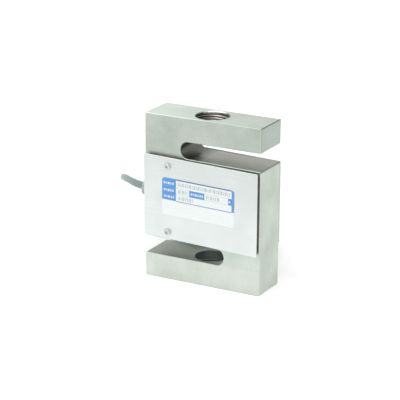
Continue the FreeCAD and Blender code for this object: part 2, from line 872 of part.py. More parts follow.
def check():
    for item in doc.Objects:
        bad = [state for state in item.State if state in ("Invalid", "Error")]
        if bad:
            raise ValueError(f"{item.Name} ({item.Label}) is {bad}")
        if item.TypeId in ("PartDesign::Pocket", "PartDesign::Groove"):
            cut = item.BaseFeature.Shape.Volume - item.Shape.Volume
            if cut < 0.01:
                raise ValueError(f"{item.Name} ({item.Label}) cuts only {cut:.4f} mm3")
    for part in parts:
        shape = part.Shape
        if shape.isNull() or not shape.isValid() or not shape.Solids:
            raise ValueError(f"{part.Label} has no valid solid")


def export():
    os.makedirs("parts", exist_ok=True)
    for part in parts:
        part.Shape.exportStep(os.path.join("parts", f"{part.Label}.step"))
        box = part.Shape.BoundBox
        print(f"{part.Label}: {part.Shape.Volume:.2f} mm3, {len(part.Shape.Faces)} faces,",
              f"x {box.XMin:.2f} {box.XMax:.2f}, y {box.YMin:.2f} {box.YMax:.2f},",
              f"z {box.ZMin:.2f} {box.ZMax:.2f}")


fillSheet()
makeBody()
makeCovers()
makeScrews()
makeLabel()
makeGauges()
makeTerminalBoard()
makeGland()
makeCable()
makeTies()
makeTailCores()
makeInnerCores()
makeGaugeWires()
doc.recompute()
check()
export()
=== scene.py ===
import math

import bmesh
import bpy
from mathutils import Matrix, Vector


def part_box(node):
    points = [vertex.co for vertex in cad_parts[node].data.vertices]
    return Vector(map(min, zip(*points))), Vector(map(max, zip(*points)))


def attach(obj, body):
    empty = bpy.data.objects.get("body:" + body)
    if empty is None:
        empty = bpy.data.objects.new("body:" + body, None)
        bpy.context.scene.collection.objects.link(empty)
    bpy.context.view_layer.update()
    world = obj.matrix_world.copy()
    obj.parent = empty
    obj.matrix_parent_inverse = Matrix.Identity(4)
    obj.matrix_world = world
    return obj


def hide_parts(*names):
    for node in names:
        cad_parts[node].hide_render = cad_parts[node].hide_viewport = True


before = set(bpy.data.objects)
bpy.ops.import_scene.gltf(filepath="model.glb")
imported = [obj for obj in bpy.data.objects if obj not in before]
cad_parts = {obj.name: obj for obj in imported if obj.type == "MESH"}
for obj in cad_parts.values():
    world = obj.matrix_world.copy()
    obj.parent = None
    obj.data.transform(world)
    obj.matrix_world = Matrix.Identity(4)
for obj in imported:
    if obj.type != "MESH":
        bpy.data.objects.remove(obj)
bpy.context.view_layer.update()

mm = 0.001


def linearColour(code):
    # sRGB hex to the linear colour that a shader takes
    channels = [int(code[i:i + 2], 16) / 255 for i in (0, 2, 4)]
    return [c / 12.92 if c <= 0.04045 else ((c + 0.055) / 1.055) ** 2.4 for c in channels] + [1.0]


def addNode(tree, kind, settings):
    # A setting is one of the node's options, or a socket's value, hex colour or the output that feeds it
    node = tree.nodes.new(kind)
    for name, value in settings.items():
        if isinstance(name, str) and hasattr(node, name):
            setattr(node, name, value)
        elif isinstance(value, bpy.types.NodeSocket):
            tree.links.new(value, node.inputs[name])
        else:
            node.inputs[name].default_value = linearColour(value) if isinstance(value, str) else value
    return node


def startMaterial(name):
    material = bpy.data.materials.new(name)
    material.use_nodes = True
    tree = material.node_tree
    tree.nodes.clear()
    return material, tree, addNode(tree, "ShaderNodeTexCoord", {}).outputs["Object"]


def endMaterial(tree, shader):
    surface = addNode(tree, "ShaderNodeBsdfPrincipled", shader)
    addNode(tree, "ShaderNodeOutputMaterial", {"Surface": surface.outputs["BSDF"]})


noiseRoughness = 0.55
noiseSpan = (0.3, 0.7)  # nearly all of a noise's values lie between these


def drawnMarks(tree, place, size):
    # Long thin marks, as grinding, brushing and turning leave them; size is along x, y and z
    stretched = addNode(tree, "ShaderNodeMapping", {"Vector": place, "Scale": [1 / (s * mm) for s in size]})
    return addNode(tree, "ShaderNodeTexNoise", {
        "Vector": stretched.outputs["Vector"], "Scale": 1.0, "Detail": 2.0, "Roughness": noiseRoughness,
    }).outputs["Fac"]


def mottledTone(tree, pattern, dark, light, share=1.0, span=noiseSpan):
    # From the dark tone to as much of the light one as share says, as the pattern rises through the span
    amount = addNode(tree, "ShaderNodeMapRange", {
        "Value": pattern, "From Min": span[0], "From Max": span[1], "To Min": 0.0, "To Max": share,
    })
    # a colour mix has its factor at socket 0, its colours at 6 and 7 and its result at output 2
    return addNode(tree, "ShaderNodeMix", {
        "data_type": "RGBA", 0: amount.outputs["Result"], 6: dark, 7: light,
    }).outputs[2]


def markedSkin(tree, marks, relief, roughness):
    # What marks give a surface: relief, as depth and strength, and a roughness that follows them
    depth, strength = relief
    bump = addNode(tree, "ShaderNodeBump", {"Height": marks, "Distance": depth * mm, "Strength": strength})
    rough = addNode(tree, "ShaderNodeMapRange", {
        "Value": marks, "From Min": noiseSpan[0], "From Max": noiseSpan[1],
        "To Min": roughness[0], "To Max": roughness[1],
    })
    return {"Normal": bump.outputs["Normal"], "Roughness": rough.outputs["Result"]}


# A zone is a box in which a metal or a plastic has another tone. It is given as two corners, how much,
# the colour, and for some the x where it is full and the x where it is gone, all in millimetres.
zoneFade = 0.1


def insideBox(tree, place, low, high):
    # 1 inside the box, down to 0 at a distance of zoneFade outside it
    toMiddle = [-(a + b) / 2 * mm for a, b in zip(low, high)]
    half = [(b - a) / 2 * mm for a, b in zip(low, high)]
    moved = addNode(tree, "ShaderNodeVectorMath", {"operation": "ADD", 0: place, 1: toMiddle})
    folded = addNode(tree, "ShaderNodeVectorMath", {"operation": "ABSOLUTE", 0: moved.outputs[0]})
    beyond = addNode(tree, "ShaderNodeVectorMath", {"operation": "SUBTRACT", 0: folded.outputs[0], 1: half})
    x, y, z = addNode(tree, "ShaderNodeSeparateXYZ", {0: beyond.outputs[0]}).outputs
    level = addNode(tree, "ShaderNodeMath", {"operation": "MAXIMUM", 0: x, 1: y})
    furthest = addNode(tree, "ShaderNodeMath", {"operation": "MAXIMUM", 0: level.outputs[0], 1: z})
    return addNode(tree, "ShaderNodeMapRange", {
        "Value": furthest.outputs[0], "From Min": 0.0, "From Max": zoneFade * mm,
        "To Min": 1.0, "To Max": 0.0,
    }).outputs["Result"]


def addZones(tree, place, tone, zones):
    across = addNode(tree, "ShaderNodeSeparateXYZ", {0: place}).outputs["X"]
    for low, high, share, colour, runOut in zones:
        inside = insideBox(tree, place, low, high)
        amount = addNode(tree, "ShaderNodeMath", {"operation": "MULTIPLY", 0: inside, 1: share}).outputs[0]
        if runOut:
            left = addNode(tree, "ShaderNodeMapRange", {
                "Value": across, "From Min": runOut[0] * mm, "From Max": runOut[1] * mm,
                "To Min": 1.0, "To Max": 0.0,
            }).outputs["Result"]
            amount = addNode(tree, "ShaderNodeMath", {"operation": "MULTIPLY", 0: amount, 1: left}).outputs[0]
        tone = addNode(tree, "ShaderNodeMix", {"data_type": "RGBA", 0: amount, 6: tone, 7: colour}).outputs[2]
    return tone


# Looks: sizes in millimetres, and relief as depth and strength
steelLook = {
    "light": "CBD3CA",
    "dark": "B4BEB4",
    "grain": "98A298",
    "roughness": (0.34, 0.46),
    "markSize": (22.0, 0.7, 0.7),  # real grinding marks are 0.1 mm apart, too fine to show
    "markShare": 0.16,
    "patchSize": 18.0,
    "grainSize": 1.0,  # the plating's real grain is finer, too fine to show
    "grainShare": 0.2,
    "relief": (0.02, 0.35),
    "zones": (
        # painted shade in the milled slots, deepest in the upper one's round end
        ((-38.6, -12.35, 14.6), (14.6, 12.35, 26.6), 0.72, "8E9184", None),
        ((-14.6, -12.35, 75.0), (38.6, 12.35, 87.2), 0.74, "93958A", None),
        ((-14.6, -12.35, 75.0), (2.0, 12.35, 87.2), 0.85, "53554F", (-9.0, -1.0)),
        # painted shade in the upper bore with its chamfer, deeper painted shade on its left, and a painted
        # highlight on the chamfer
        ((-10.9, -10.9, 86.9), (10.9, 10.9, 101.5), 0.85, "7C7E76", None),
        ((-10.9, -10.9, 86.9), (0.0, 10.9, 101.5), 0.75, "41423D", (-9.5, -3.5)),
        ((-8.6, 4.0, 100.35), (5.2, 10.95, 101.5), 0.55, "F2F5F0", None),
        ((-7.0, 4.0, 100.35), (3.6, 10.95, 101.5), 1.0, "FBFDFA", None),
        # painted shade in the lower bore, and painted light on the front of the lower arm, which is also
        # warmer
        ((-10.9, -10.9, 0.1), (10.9, 10.9, 14.8), 0.9, "A3ABA8", None),
        ((-38.5, -12.95, 0.1), (38.5, -12.5, 14.8), 0.2, "DAD4D4", None),
        # painted shade on the end of the upper arm, a painted highlight on its front edge and a line of
        # painted shade beside that
        ((37.9, -12.9, 86.4), (38.4, 12.9, 101.3), 0.45, "8E9C99", None),
        ((37.5, -12.9, 87.2), (37.97, -12.45, 101.0), 0.3, "F0F8F0", None),
        ((37.97, -12.8, 87.2), (38.4, -12.1, 101.0), 0.5, "676E68", None),
        # painted dark reflections along edges: that end's rear and top, below the slot, the top's front
        ((37.9, 12.15, 96.8), (38.4, 12.9, 101.3), 0.7, "4E544F", None),
        ((37.55, -12.9, 101.2), (38.4, 12.9, 101.9), 0.8, "4E544F", None),
        ((37.6, -12.9, 75.5), (38.4, 12.9, 76.3), 0.6, "5F6660", None),
        ((-38.5, -12.95, 101.2), (38.5, -12.4, 101.9), 0.6, "A0AAA1", None),
        # painted light on the left of the top
        ((-38.5, -12.9, 101.2), (12.0, 12.9, 101.9), 0.5, "E6F2E6", (-30.0, 10.0)),
    ),
}


def groundNickelSteel(name, look):
    # Alloy steel, surface ground and nickel plated: satin, faintly lined, cloudy where plated
    material, tree, place = startMaterial(name)
    lines = drawnMarks(tree, place, look["markSize"])
    patches = addNode(tree, "ShaderNodeTexNoise", {
        "Vector": place, "Scale": 1 / (look["patchSize"] * mm), "Detail": 3.0, "Roughness": noiseRoughness,
    })
    grain = addNode(tree, "ShaderNodeTexNoise", {
        "Vector": place, "Scale": 1 / (look["grainSize"] * mm), "Detail": 2.0, "Roughness": noiseRoughness,
    })
    tone = mottledTone(tree, patches.outputs["Fac"], look["dark"], look["light"])
    tone = mottledTone(tree, lines, tone, look["light"], look["markShare"])
    tone = mottledTone(tree, grain.outputs["Fac"], tone, look["grain"], look["grainShare"])
    # the zones add painted shade, painted highlights and painted dark reflections to the base colour
    endMaterial(tree, {
        "Base Color": addZones(tree, place, tone, look["zones"]), "Metallic": 1.0,
        **markedSkin(tree, lines, look["relief"], look["roughness"]),
    })
    return material


coverLook = {
    "light": "DEE4E2",
    "dark": "D0D6D4",
    "toneSpan": (0.1, 0.45),  # of the lines times the clouds
    "roughness": (0.38, 0.5),
    "markSize": (30.0, 0.6, 0.6),  # real brush lines are 0.1 mm apart, too fine to show
    "cloudSize": 22.2,
    "relief": (0.01, 0.3),
}


def brushedAnodisedAluminium(name, look):
    # Aluminium sheet, brushed then clear anodised: pale, soft, with long level lines
    material, tree, place = startMaterial(name)
    lines = drawnMarks(tree, place, look["markSize"])
    clouds = addNode(tree, "ShaderNodeTexNoise", {
        "Vector": place, "Scale": 1 / (look["cloudSize"] * mm), "Detail": 2.0, "Roughness": noiseRoughness,
    })
    cloudyLines = addNode(tree, "ShaderNodeMath", {
        "operation": "MULTIPLY", 0: lines, 1: clouds.outputs["Fac"],
    })
    tone = mottledTone(tree, cloudyLines.outputs[0], look["dark"], look["light"], span=look["toneSpan"])
    endMaterial(tree, {
        "Base Color": tone, "Metallic": 0.85, **markedSkin(tree, lines, look["relief"], look["roughness"]),
    })
    return material


rubberLook = {
    "dustSize": 11.1,
    "pitSize": 0.5,  # real pits are 0.1 mm wide, too fine to show
    "relief": (0.03, 0.5),
}


def mouldedRubber(name, light, dark, look):
    # Sheet or moulded rubber: dull, a little dusty, with a fine pitted skin
    material, tree, place = startMaterial(name)
    dust = addNode(tree, "ShaderNodeTexNoise", {
        "Vector": place, "Scale": 1 / (look["dustSize"] * mm), "Detail": 2.0, "Roughness": noiseRoughness,
    })
    pits = addNode(tree, "ShaderNodeTexNoise", {
        "Vector": place, "Scale": 1 / (look["pitSize"] * mm), "Detail": 4.0, "Roughness": noiseRoughness,
    })
    depth, strength = look["relief"]
    skin = addNode(tree, "ShaderNodeBump", {
        "Height": pits.outputs["Fac"], "Distance": depth * mm, "Strength": strength,
    })
    tone = mottledTone(tree, dust.outputs["Fac"], dark, light)
    endMaterial(tree, {"Base Color": tone, "Roughness": 0.72, "Normal": skin.outputs["Normal"]})
    return material


metalLook = {
    "markSize": (0.4, 6.25, 6.25),  # real turning lines are 0.1 mm apart, too fine to show
    "stainSize": 3.85,
    "relief": (0.01, 0.3),
}


def turnedMetal(name, light, dark, look, roughness=(0.2, 0.34), zones=()):
    # Turned or drawn metal, plated or enamelled: brighter than the block, with fine turning lines
    material, tree, place = startMaterial(name)
    turning = drawnMarks(tree, place, look["markSize"])
    stain = addNode(tree, "ShaderNodeTexNoise", {
        "Vector": place, "Scale": 1 / (look["stainSize"] * mm), "Detail": 3.0, "Roughness": noiseRoughness,
    })
    tone = mottledTone(tree, stain.outputs["Fac"], dark, light)
    endMaterial(tree, {
        "Base Color": addZones(tree, place, tone, zones), "Metallic": 1.0,
        **markedSkin(tree, turning, look["relief"], roughness),
    })
    return material


vinylLook = {
    "dragSize": 2.38,
    "cloudSize": 14.3,
    "relief": (0.02, 0.3),
}


def softVinyl(name, light, dark, look, roughness=(0.42, 0.58), zones=()):
    # Extruded PVC or moulded nylon: even colour, waxy shine, faint drag lines and handling marks
    material, tree, place = startMaterial(name)
    drag = addNode(tree, "ShaderNodeTexNoise", {
        "Vector": place, "Scale": 1 / (look["dragSize"] * mm), "Detail": 3.0, "Roughness": noiseRoughness,
    })
    clouds = addNode(tree, "ShaderNodeTexNoise", {
        "Vector": place, "Scale": 1 / (look["cloudSize"] * mm), "Detail": 2.0, "Roughness": noiseRoughness,
    })
    tone = mottledTone(tree, clouds.outputs["Fac"], dark, light)
    endMaterial(tree, {
        "Base Color": addZones(tree, place, tone, zones), "IOR": 1.53,
        **markedSkin(tree, drag.outputs["Fac"], look["relief"], roughness),
    })
    return material


filmLook = {
    "roughness": (0.3, 0.42),
    "mottleSize": 1.11,
    "relief": (0.005, 0.2),
}


def printedFilm(name, light, dark, look):
    # Polyester label film under a clear coat: smooth, faintly uneven print
    material, tree, place = startMaterial(name)
    mottle = addNode(tree, "ShaderNodeTexNoise", {
        "Vector": place, "Scale": 1 / (look["mottleSize"] * mm), "Detail": 3.0, "Roughness": noiseRoughness,
    }).outputs["Fac"]
    endMaterial(tree, {
        "Base Color": mottledTone(tree, mottle, dark, light), "IOR": 1.5, "Coat Weight": 0.25,
        **markedSkin(tree, mottle, look["relief"], look["roughness"]),
    })
    return material


gaugeLook = {
    "film": "B5701C",
    "foil": "8E8F8A",
    "foilMetal": 0.6,
    "lineSpacing": 0.98,  # a real grid's lines are 0.1 mm apart, too fine to show
    "lineEdge": (0.45, 0.55),  # the wave's value where a line begins and where it is full
    "relief": (0.02, 0.4),
}


def gaugeFilm(name, slope, look):
    # Polyimide film with an etched foil grid: amber with close grey lines along the gauge
    material, tree, place = startMaterial(name)
    turned = addNode(tree, "ShaderNodeMapping", {"Vector": place, "Rotation": (0, math.radians(slope), 0)})
    lines = addNode(tree, "ShaderNodeTexWave", {
        "wave_type": "BANDS", "bands_direction": "Z", "Vector": turned.outputs["Vector"], "Distortion": 0.0,
        "Scale": 2 * math.pi / 20 / (look["lineSpacing"] * mm),  # at scale 1 a wave turns 20 radians in 1 m
    })
    grid = addNode(tree, "ShaderNodeMapRange", {
        "Value": lines.outputs["Fac"], "From Min": look["lineEdge"][0], "From Max": look["lineEdge"][1],
    }).outputs["Result"]
    metal = addNode(tree, "ShaderNodeMapRange", {"Value": grid, "To Max": look["foilMetal"]})
    depth, strength = look["relief"]
    skin = addNode(tree, "ShaderNodeBump", {"Height": grid, "Distance": depth * mm, "Strength": strength})
    tone = addNode(tree, "ShaderNodeMix", {"data_type": "RGBA", 0: grid, 6: look["film"], 7: look["foil"]})
    endMaterial(tree, {
        "Base Color": tone.outputs[2], "Metallic": metal.outputs["Result"], "Roughness": 0.35, "IOR": 1.7,
        "Normal": skin.outputs["Normal"],
    })
    return material


boardLook = {
    "light": "2A7038",
    "dark": "1D5A2B",
    "weaveSize": 0.625,
    "pad": "C4C6C2",
    "padMetal": 0.9,
    "padSpacing": 2.0,
    "padEdge": (0.28, 0.32),  # in and out of a pad's edge, as shares of the spacing
    "relief": (0.03, 0.5),
}


def solderMaskBoard(name, look):
    # Glass laminate under green solder mask, with pale tinned pads in rows
    material, tree, place = startMaterial(name)
    cells = addNode(tree, "ShaderNodeTexVoronoi", {
        "Vector": place, "Scale": 1 / (look["padSpacing"] * mm), "Randomness": 0.0,
    })
    pads = addNode(tree, "ShaderNodeMapRange", {
        "Value": cells.outputs["Distance"], "From Min": look["padEdge"][0], "From Max": look["padEdge"][1],
        "To Min": 1.0, "To Max": 0.0,
    }).outputs["Result"]
    weave = addNode(tree, "ShaderNodeTexNoise", {
        "Vector": place, "Scale": 1 / (look["weaveSize"] * mm), "Detail": 2.0, "Roughness": noiseRoughness,
    })
    green = mottledTone(tree, weave.outputs["Fac"], look["dark"], look["light"])
    tone = addNode(tree, "ShaderNodeMix", {"data_type": "RGBA", 0: pads, 6: green, 7: look["pad"]})
    metal = addNode(tree, "ShaderNodeMapRange", {"Value": pads, "To Max": look["padMetal"]})
    depth, strength = look["relief"]
    skin = addNode(tree, "ShaderNodeBump", {"Height": pads, "Distance": depth * mm, "Strength": strength})
    endMaterial(tree, {
        "Base Color": tone.outputs[2], "Metallic": metal.outputs["Result"], "Roughness": 0.4, "IOR": 1.55,
        "Normal": skin.outputs["Normal"],
    })
    return material


resistorLook = {
    "body": "6FA3BE",
    "bands": ((0.16, "7A2B1B"), (0.36, "1B1B1B"), (0.56, "C2561B"), (0.8, "A98230")),
    "bandWidth": 0.08,  # this and the bands' starts are shares of the length
    "grainSize": 0.5,
    "relief": (0.01, 0.3),
}


def bandedResistor(name, middle, length, look):
    # Lacquered film resistor: pale blue with colour bands round it
    material, tree, place = startMaterial(name)
    centred = addNode(tree, "ShaderNodeMapping", {
        "Vector": place, "Scale": (1 / length,) * 3, "Location": (0.5 - middle / length, 0, 0),
    })
    along = addNode(tree, "ShaderNodeSeparateXYZ", {0: centred.outputs["Vector"]})
    bands = addNode(tree, "ShaderNodeValToRGB", {"Fac": along.outputs["X"]})
    ramp = bands.color_ramp
    ramp.interpolation = "CONSTANT"
    ramp.elements[0].color = linearColour(look["body"])
    ramp.elements.remove(ramp.elements[1])
    for start, colour in look["bands"]:
        ramp.elements.new(start).color = linearColour(colour)
        ramp.elements.new(start + look["bandWidth"]).color = linearColour(look["body"])
    grain = addNode(tree, "ShaderNodeTexNoise", {
        "Vector": place, "Scale": 1 / (look["grainSize"] * mm), "Detail": 2.0, "Roughness": noiseRoughness,
    })
    depth, strength = look["relief"]
    skin = addNode(tree, "ShaderNodeBump", {
        "Height": grain.outputs["Fac"], "Distance": depth * mm, "Strength": strength,
    })
    endMaterial(tree, {
        "Base Color": bands.outputs["Color"], "Roughness": 0.3, "IOR": 1.5, "Normal": skin.outputs["Normal"],
    })
    return material


def dress(material, *nodes):
    for node in nodes:
        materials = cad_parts[node].data.materials
        materials.clear()
        materials.append(material)


steel = groundNickelSteel("groundNickelSteel", steelLook)
cover = brushedAnodisedAluminium("brushedAnodisedAluminium", coverLook)
gasket = mouldedRubber("darkChloropreneSheet", "4A453E", "332F2A", rubberLook)
sealRubber = mouldedRubber("blackNitrileRubber", "2A2A2A", "1B1B1B", rubberLook)
screwSteel = turnedMetal("zincPlatedScrewSteel", "D6DBDA", "BFC5C4", metalLook, (0.3, 0.44))
# the upper thread is darker at its shaded left
shadedLeft = (((-10.9, -10.9, 86.0), (0.0, 10.9, 101.5), 0.8, "33342F", (-9.0, -2.5)),)
threadSteel = turnedMetal("cutThreadSteel", "D3CEC6", "B4AFA7", metalLook, (0.14, 0.22), shadedLeft)
# the lower thread: a darker, rougher copy of the thread steel, painted shade to match its bore
shadedThread = turnedMetal("shadedThreadSteel", "B2BAB8", "9FA7A5", metalLook, (0.5, 0.62))
glandMetal = turnedMetal("nickelPlatedBrass", "A7B2B2", "8A9595", metalLook)
film = printedFilm("whiteLabelFilm", "E5EAE9", "DDE3E2", filmLook)
nylon = softVinyl("blackNylon", "1F1F1F", "151515", vinylLook, (0.35, 0.5))
copper = turnedMetal("enamelledCopperWire", "B5652C", "8A431A", metalLook, (0.2, 0.3))
tinned = turnedMetal("tinnedCopperStrand", "C9C6BF", "A9A49A", metalLook, (0.3, 0.42))
# painted shade on the cable near the gland
paintedShadeNearGland = (((-72.0, -8.0, 38.0), (-44.0, 14.0, 60.0), 0.6, "6C807E", (-53.0, -70.0)),)
jacketVinyl = softVinyl("greyCableVinyl", "9FB2AF", "8A9E9B", vinylLook, zones=paintedShadeNearGland)
coreColours = {
    "red": ("B3231C", "8F1913"),
    "green": ("1F7A3A", "15592A"),
    "white": ("E6E6E1", "D2D2CC"),
    "black": ("2A2A2A", "161616"),
}
coreVinyl = {}
for colour, (light, dark) in coreColours.items():
    coreVinyl[colour] = softVinyl(f"{colour}CoreVinyl", light, dark, vinylLook)

dress(steel, "body")
dress(cover, "front_cover_plate", "rear_cover_plate")
dress(gasket, "front_gasket", "rear_gasket")
dress(screwSteel, "front_screw_upper", "front_screw_lower", "rear_screw_upper", "rear_screw_lower")
dress(film, "rating_label")
dress(glandMetal, "gland_washer", "gland_body", "gland_nut")
dress(sealRubber, "gland_seal")
dress(nylon, "coil_tie_left", "coil_tie_right")
dress(solderMaskBoard("greenSolderMaskLaminate", boardLook), "terminal_board")
for side in ("front", "rear"):
    for slope, degrees in (("rising", 45), ("falling", -45)):
        dress(gaugeFilm(f"polyimideGauge_{side}_{slope}", degrees, gaugeLook), f"{side}_gauge_{slope}")
        dress(copper, f"{side}_wires_{slope}")
for name in ("zero_resistor", "span_resistor"):
    low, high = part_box(name)
    dress(bandedResistor(f"bandedFilm_{name}", (low[0] + high[0]) / 2, high[0] - low[0], resistorLook), name)
for colour, vinyl in coreVinyl.items():
    dress(vinyl, f"tail_core_{colour}", f"inner_core_{colour}")
print("materials on the carried-over nodes")


def addObject(name, data):
    thing = bpy.data.objects.new(name, data)
    bpy.context.scene.collection.objects.link(thing)
    return thing


def meshPiece(name, shape, material):
    # Shapes come in millimetres; the finished mesh is in metres with its object at the origin
    bmesh.ops.transform(shape, matrix=Matrix.Scale(mm, 4), verts=shape.verts)
    bmesh.ops.recalc_face_normals(shape, faces=shape.faces)
    mesh = bpy.data.meshes.new(name)
    shape.to_mesh(mesh)
    shape.free()
    mesh.materials.append(material)
    piece = addObject(name, mesh)
    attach(piece, "root")


def startCurve(name, radius, *materials):
    curve = bpy.data.curves.new(name, "CURVE")
    curve.dimensions = "3D"
    curve.bevel_depth = radius * mm
    curve.bevel_resolution = 3
    curve.use_fill_caps = True
    for material in materials:
        curve.materials.append(material)
    return curve


def addRun(curve, places, resolution, thickness=1.0, material=0):
    spline = curve.splines.new("NURBS")
    spline.points.add(len(places) - 1)
    for point, place in zip(spline.points, places):
        point.co = [c * mm for c in place] + [1.0]
        point.radius = thickness
    spline.order_u = 3
    spline.use_endpoint_u = True
    spline.resolution_u = resolution
    spline.material_index = material


# The cable: one spline from inside the gland, over the coil, through its turns to the bare end
cable = {
    "length": 3.0,
    "diameter": 4.2,
    "resolution": 6,
    "mouth": (-45.9, 0.0, 50.8),
    "lead": [
        (-35.0, 0.0, 50.8), (-49.7, 0.0, 50.8), (-61.6, 6.0, 52.0), (-71.2, 16.2, 49.2), (-76.6, 29.6, 43.4),
        (-77.0, 42.6, 36.6), (-69.6, 54.0, 30.6), (-57.6, 62.5, 27.0), (-45.0, 70.4, 24.9),
    ],
    "top": 24.05,  # height of the stretch that lies on the coil
    "ontoCoil": ((3.8, 112.0), (1.0, 90.0), (-1.5, 70.0), (-3.8, 50.0)),  # out from the mean radius, degrees
    "coilMiddle": (-21.5, 50.8),
    "coilMeanRadius": 22.5,
    "firstTurn": 30.0,  # degrees, where the first turn starts
    "pointsPerTurn": 18,
    "crossing": 9,  # points over which a turn steps to the next column or layer
    "sinking": 5,  # points over which the first turn sinks from the top of the coil into it
    "columns": (-5.9, -1.8, 2.3, 6.4),  # out from the mean radius
    "spacing": 4.2,  # how much further out the last turn leads
    "bulge": 1.5,  # where the outermost turn steps down a layer
    "layers": (19.8, 15.6, 11.4, 7.2, 3.0),
    "leftOff": 3,  # points of the last turn that the tail stands in for
    # out from the mean radius, degrees, height
    "tail": (
        (10.4, 86.0, 3.0), (10.9, 71.5, 3.0), (10.8, 53.0, 2.15), (10.7, 35.0, 2.15), (10.9, 17.0, 2.15),
        (11.6, 0.0, 2.15),
    ),
}


def roundCoil(out, degrees, z):
    angle = math.radians(degrees)
    reach = cable["coilMeanRadius"] + out
    x, y = cable["coilMiddle"]
    return (x + reach * math.cos(angle), y + reach * math.sin(angle), z)


def eased(share):
    share = min(max(share, 0.0), 1.0)
    return share * share * (3 - 2 * share)


def coilTurns():
    # Clockwise from above, the top layer first; each layer runs back under the one before it
    count, crossing = cable["pointsPerTurn"], cable["crossing"]
    outward = list(cable["columns"])
    stations = []
    for number, z in enumerate(cable["layers"]):
        stations += [(out, z) for out in (outward[::-1] if number % 2 else outward)]
    stations.append((outward[-1] + cable["spacing"], cable["layers"][-1]))
    widen = 1 / math.cos(math.pi / count)  # the spline runs inside its points
    points = []
    for turn, ((out, z), (nextOut, nextZ)) in enumerate(zip(stations, stations[1:])):
        for step in range(count):
            share = max(0.0, (step - count + crossing + 1) / (crossing + 1))
            level = z + (nextZ - z) * eased(share)
            if turn == 0:
                level += (cable["top"] - z) * eased(1 - step / cable["sinking"])
            reach = out + (nextOut - out) * eased(share)
            if nextZ != z and out > 0:
                reach += cable["bulge"] * math.sin(math.pi * share)
            reach = (cable["coilMeanRadius"] + reach) * widen - cable["coilMeanRadius"]
            degrees = cable["firstTurn"] - 360 / count * (turn * count + step)
            points.append(roundCoil(reach, degrees, level))
    return points[:-cable["leftOff"]]


# The cores at the bare end: each leaves the jacket, drops to the bench and fans out
cores = {
    "radius": 0.45,
    "resolution": 8,
    "offset": 0.9,  # of each core from the cable's middle
    "steps": (1.6, 3.0, 3.4, 3.8),  # straight on, through the bend, down to the bench, along it
    "bench": 0.55,  # height of a core's middle where it lies
    "fan": {
        # side, level, drift sideways, spread
        "red": (-1, 1, -1.2, -0.42),
        "green": (-1, -1, -0.2, -0.14),
        "white": (1, -1, 0.2, 0.10),
        "black": (1, 1, 1.2, 0.38),
    },
    "furtherSpread": 0.4,  # at the tip, as a share of the spread before it
    "strands": (-0.5, 0.8, 2.5),  # points of the bare strands, along from the insulation's end
    "strandShare": 0.6,  # their thickness as a share of the insulation's
}


def makeBareCore(colour, end, forward):
    side, level, drift, spread = cores["fan"][colour]
    straightOn, sweep, fall, lie = cores["steps"]
    across = Vector((-forward.y, forward.x, 0))
    start = end + across * (cores["offset"] * side) + Vector((0, 0, cores["offset"] * level))
    straight = start + forward * straightOn
    bend = straight + forward * sweep + across * drift
    bend.z = (start.z + cores["bench"]) / 2
    heading = forward + across * spread
    landing = bend + heading * fall
    landing.z = cores["bench"]
    heading += across * spread * cores["furtherSpread"]
    tip = landing + heading * lie
    strands = [tip + heading * along for along in cores["strands"]]
    curve = startCurve(f"stripped_core_{colour}", cores["radius"], coreVinyl[colour], tinned)
    addRun(curve, [start, straight, bend, landing, tip], cores["resolution"])
    addRun(curve, strands, cores["resolution"], cores["strandShare"], 1)
    core = addObject(f"stripped_core_{colour}", curve)
    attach(core, "root")
    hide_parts(f"tail_core_{colour}")
    return core


def makeCable():
    route = list(cable["lead"])
    route += [roundCoil(out, degrees, cable["top"]) for out, degrees in cable["ontoCoil"]]
    route += coilTurns()
    route += [roundCoil(*station) for station in cable["tail"]]
    curve = startCurve("signal_cable", cable["diameter"] / 2, jacketVinyl)
    addRun(curve, route, cable["resolution"])
    cord = addObject("signal_cable", curve)
    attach(cord, "root")
    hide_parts("cable_lead", "cable_coil", "cable_tail")
    end = Vector(route[-1])
    forward = (end - Vector(route[-2])).normalized()
    bare = [makeBareCore(colour, end, forward) for colour in coreColours]


makeCable()
print("cable")


# Threads: a helical ridge on the wall of each bore
thread = {
    "majorRadius": 10.0,
    "sink": 0.05,  # how far the ridge reaches into the bore's wall
    "pitch": 1.5,
    "ridgeDepth": 0.81,
    "crest": ((0.25, 0.42), (0.06, 0.2), (0.0, 0.0)),  # its rounded tip: out from the tip, off its middle
    "root": 0.3,  # bare wall between ridges
    "stepsPerTurn": 60,
    "upper": (86.5, 99.4),
    "lower": (1.2, 10.2),
}


def makeThread(name, low, high, material):
    shape = bmesh.new()
    outer = thread["majorRadius"] + thread["sink"]
    inner = thread["majorRadius"] - thread["ridgeDepth"]
    half = (thread["pitch"] - thread["root"]) / 2
    lowerFlank = [(outer, -half)] + [(inner + x, -z) for x, z in thread["crest"]]
    upperFlank = [(x, -z) for x, z in lowerFlank[-2::-1]]
    profile = [shape.verts.new((x, 0, low + z)) for x, z in lowerFlank + upperFlank]
    edges = [shape.edges.new(pair) for pair in zip(profile, profile[1:] + profile[:1])]
    turns = (high - low) / thread["pitch"]
    steps = int(turns * thread["stepsPerTurn"])
    bmesh.ops.spin(
        shape, geom=profile + edges, cent=(0, 0, 0), axis=(0, 0, 1), angle=turns * 2 * math.pi,
        dvec=(0, 0, (high - low) / steps), steps=steps, use_merge=False, use_duplicate=False,
    )
    bmesh.ops.holes_fill(shape, edges=[e for e in shape.edges if e.is_boundary], sides=len(profile))
    meshPiece(name, shape, material)


makeThread("upper_thread_ridge", *thread["upper"], threadSteel)
makeThread("lower_thread_ridge", *thread["lower"], shadedThread)
print("threads")


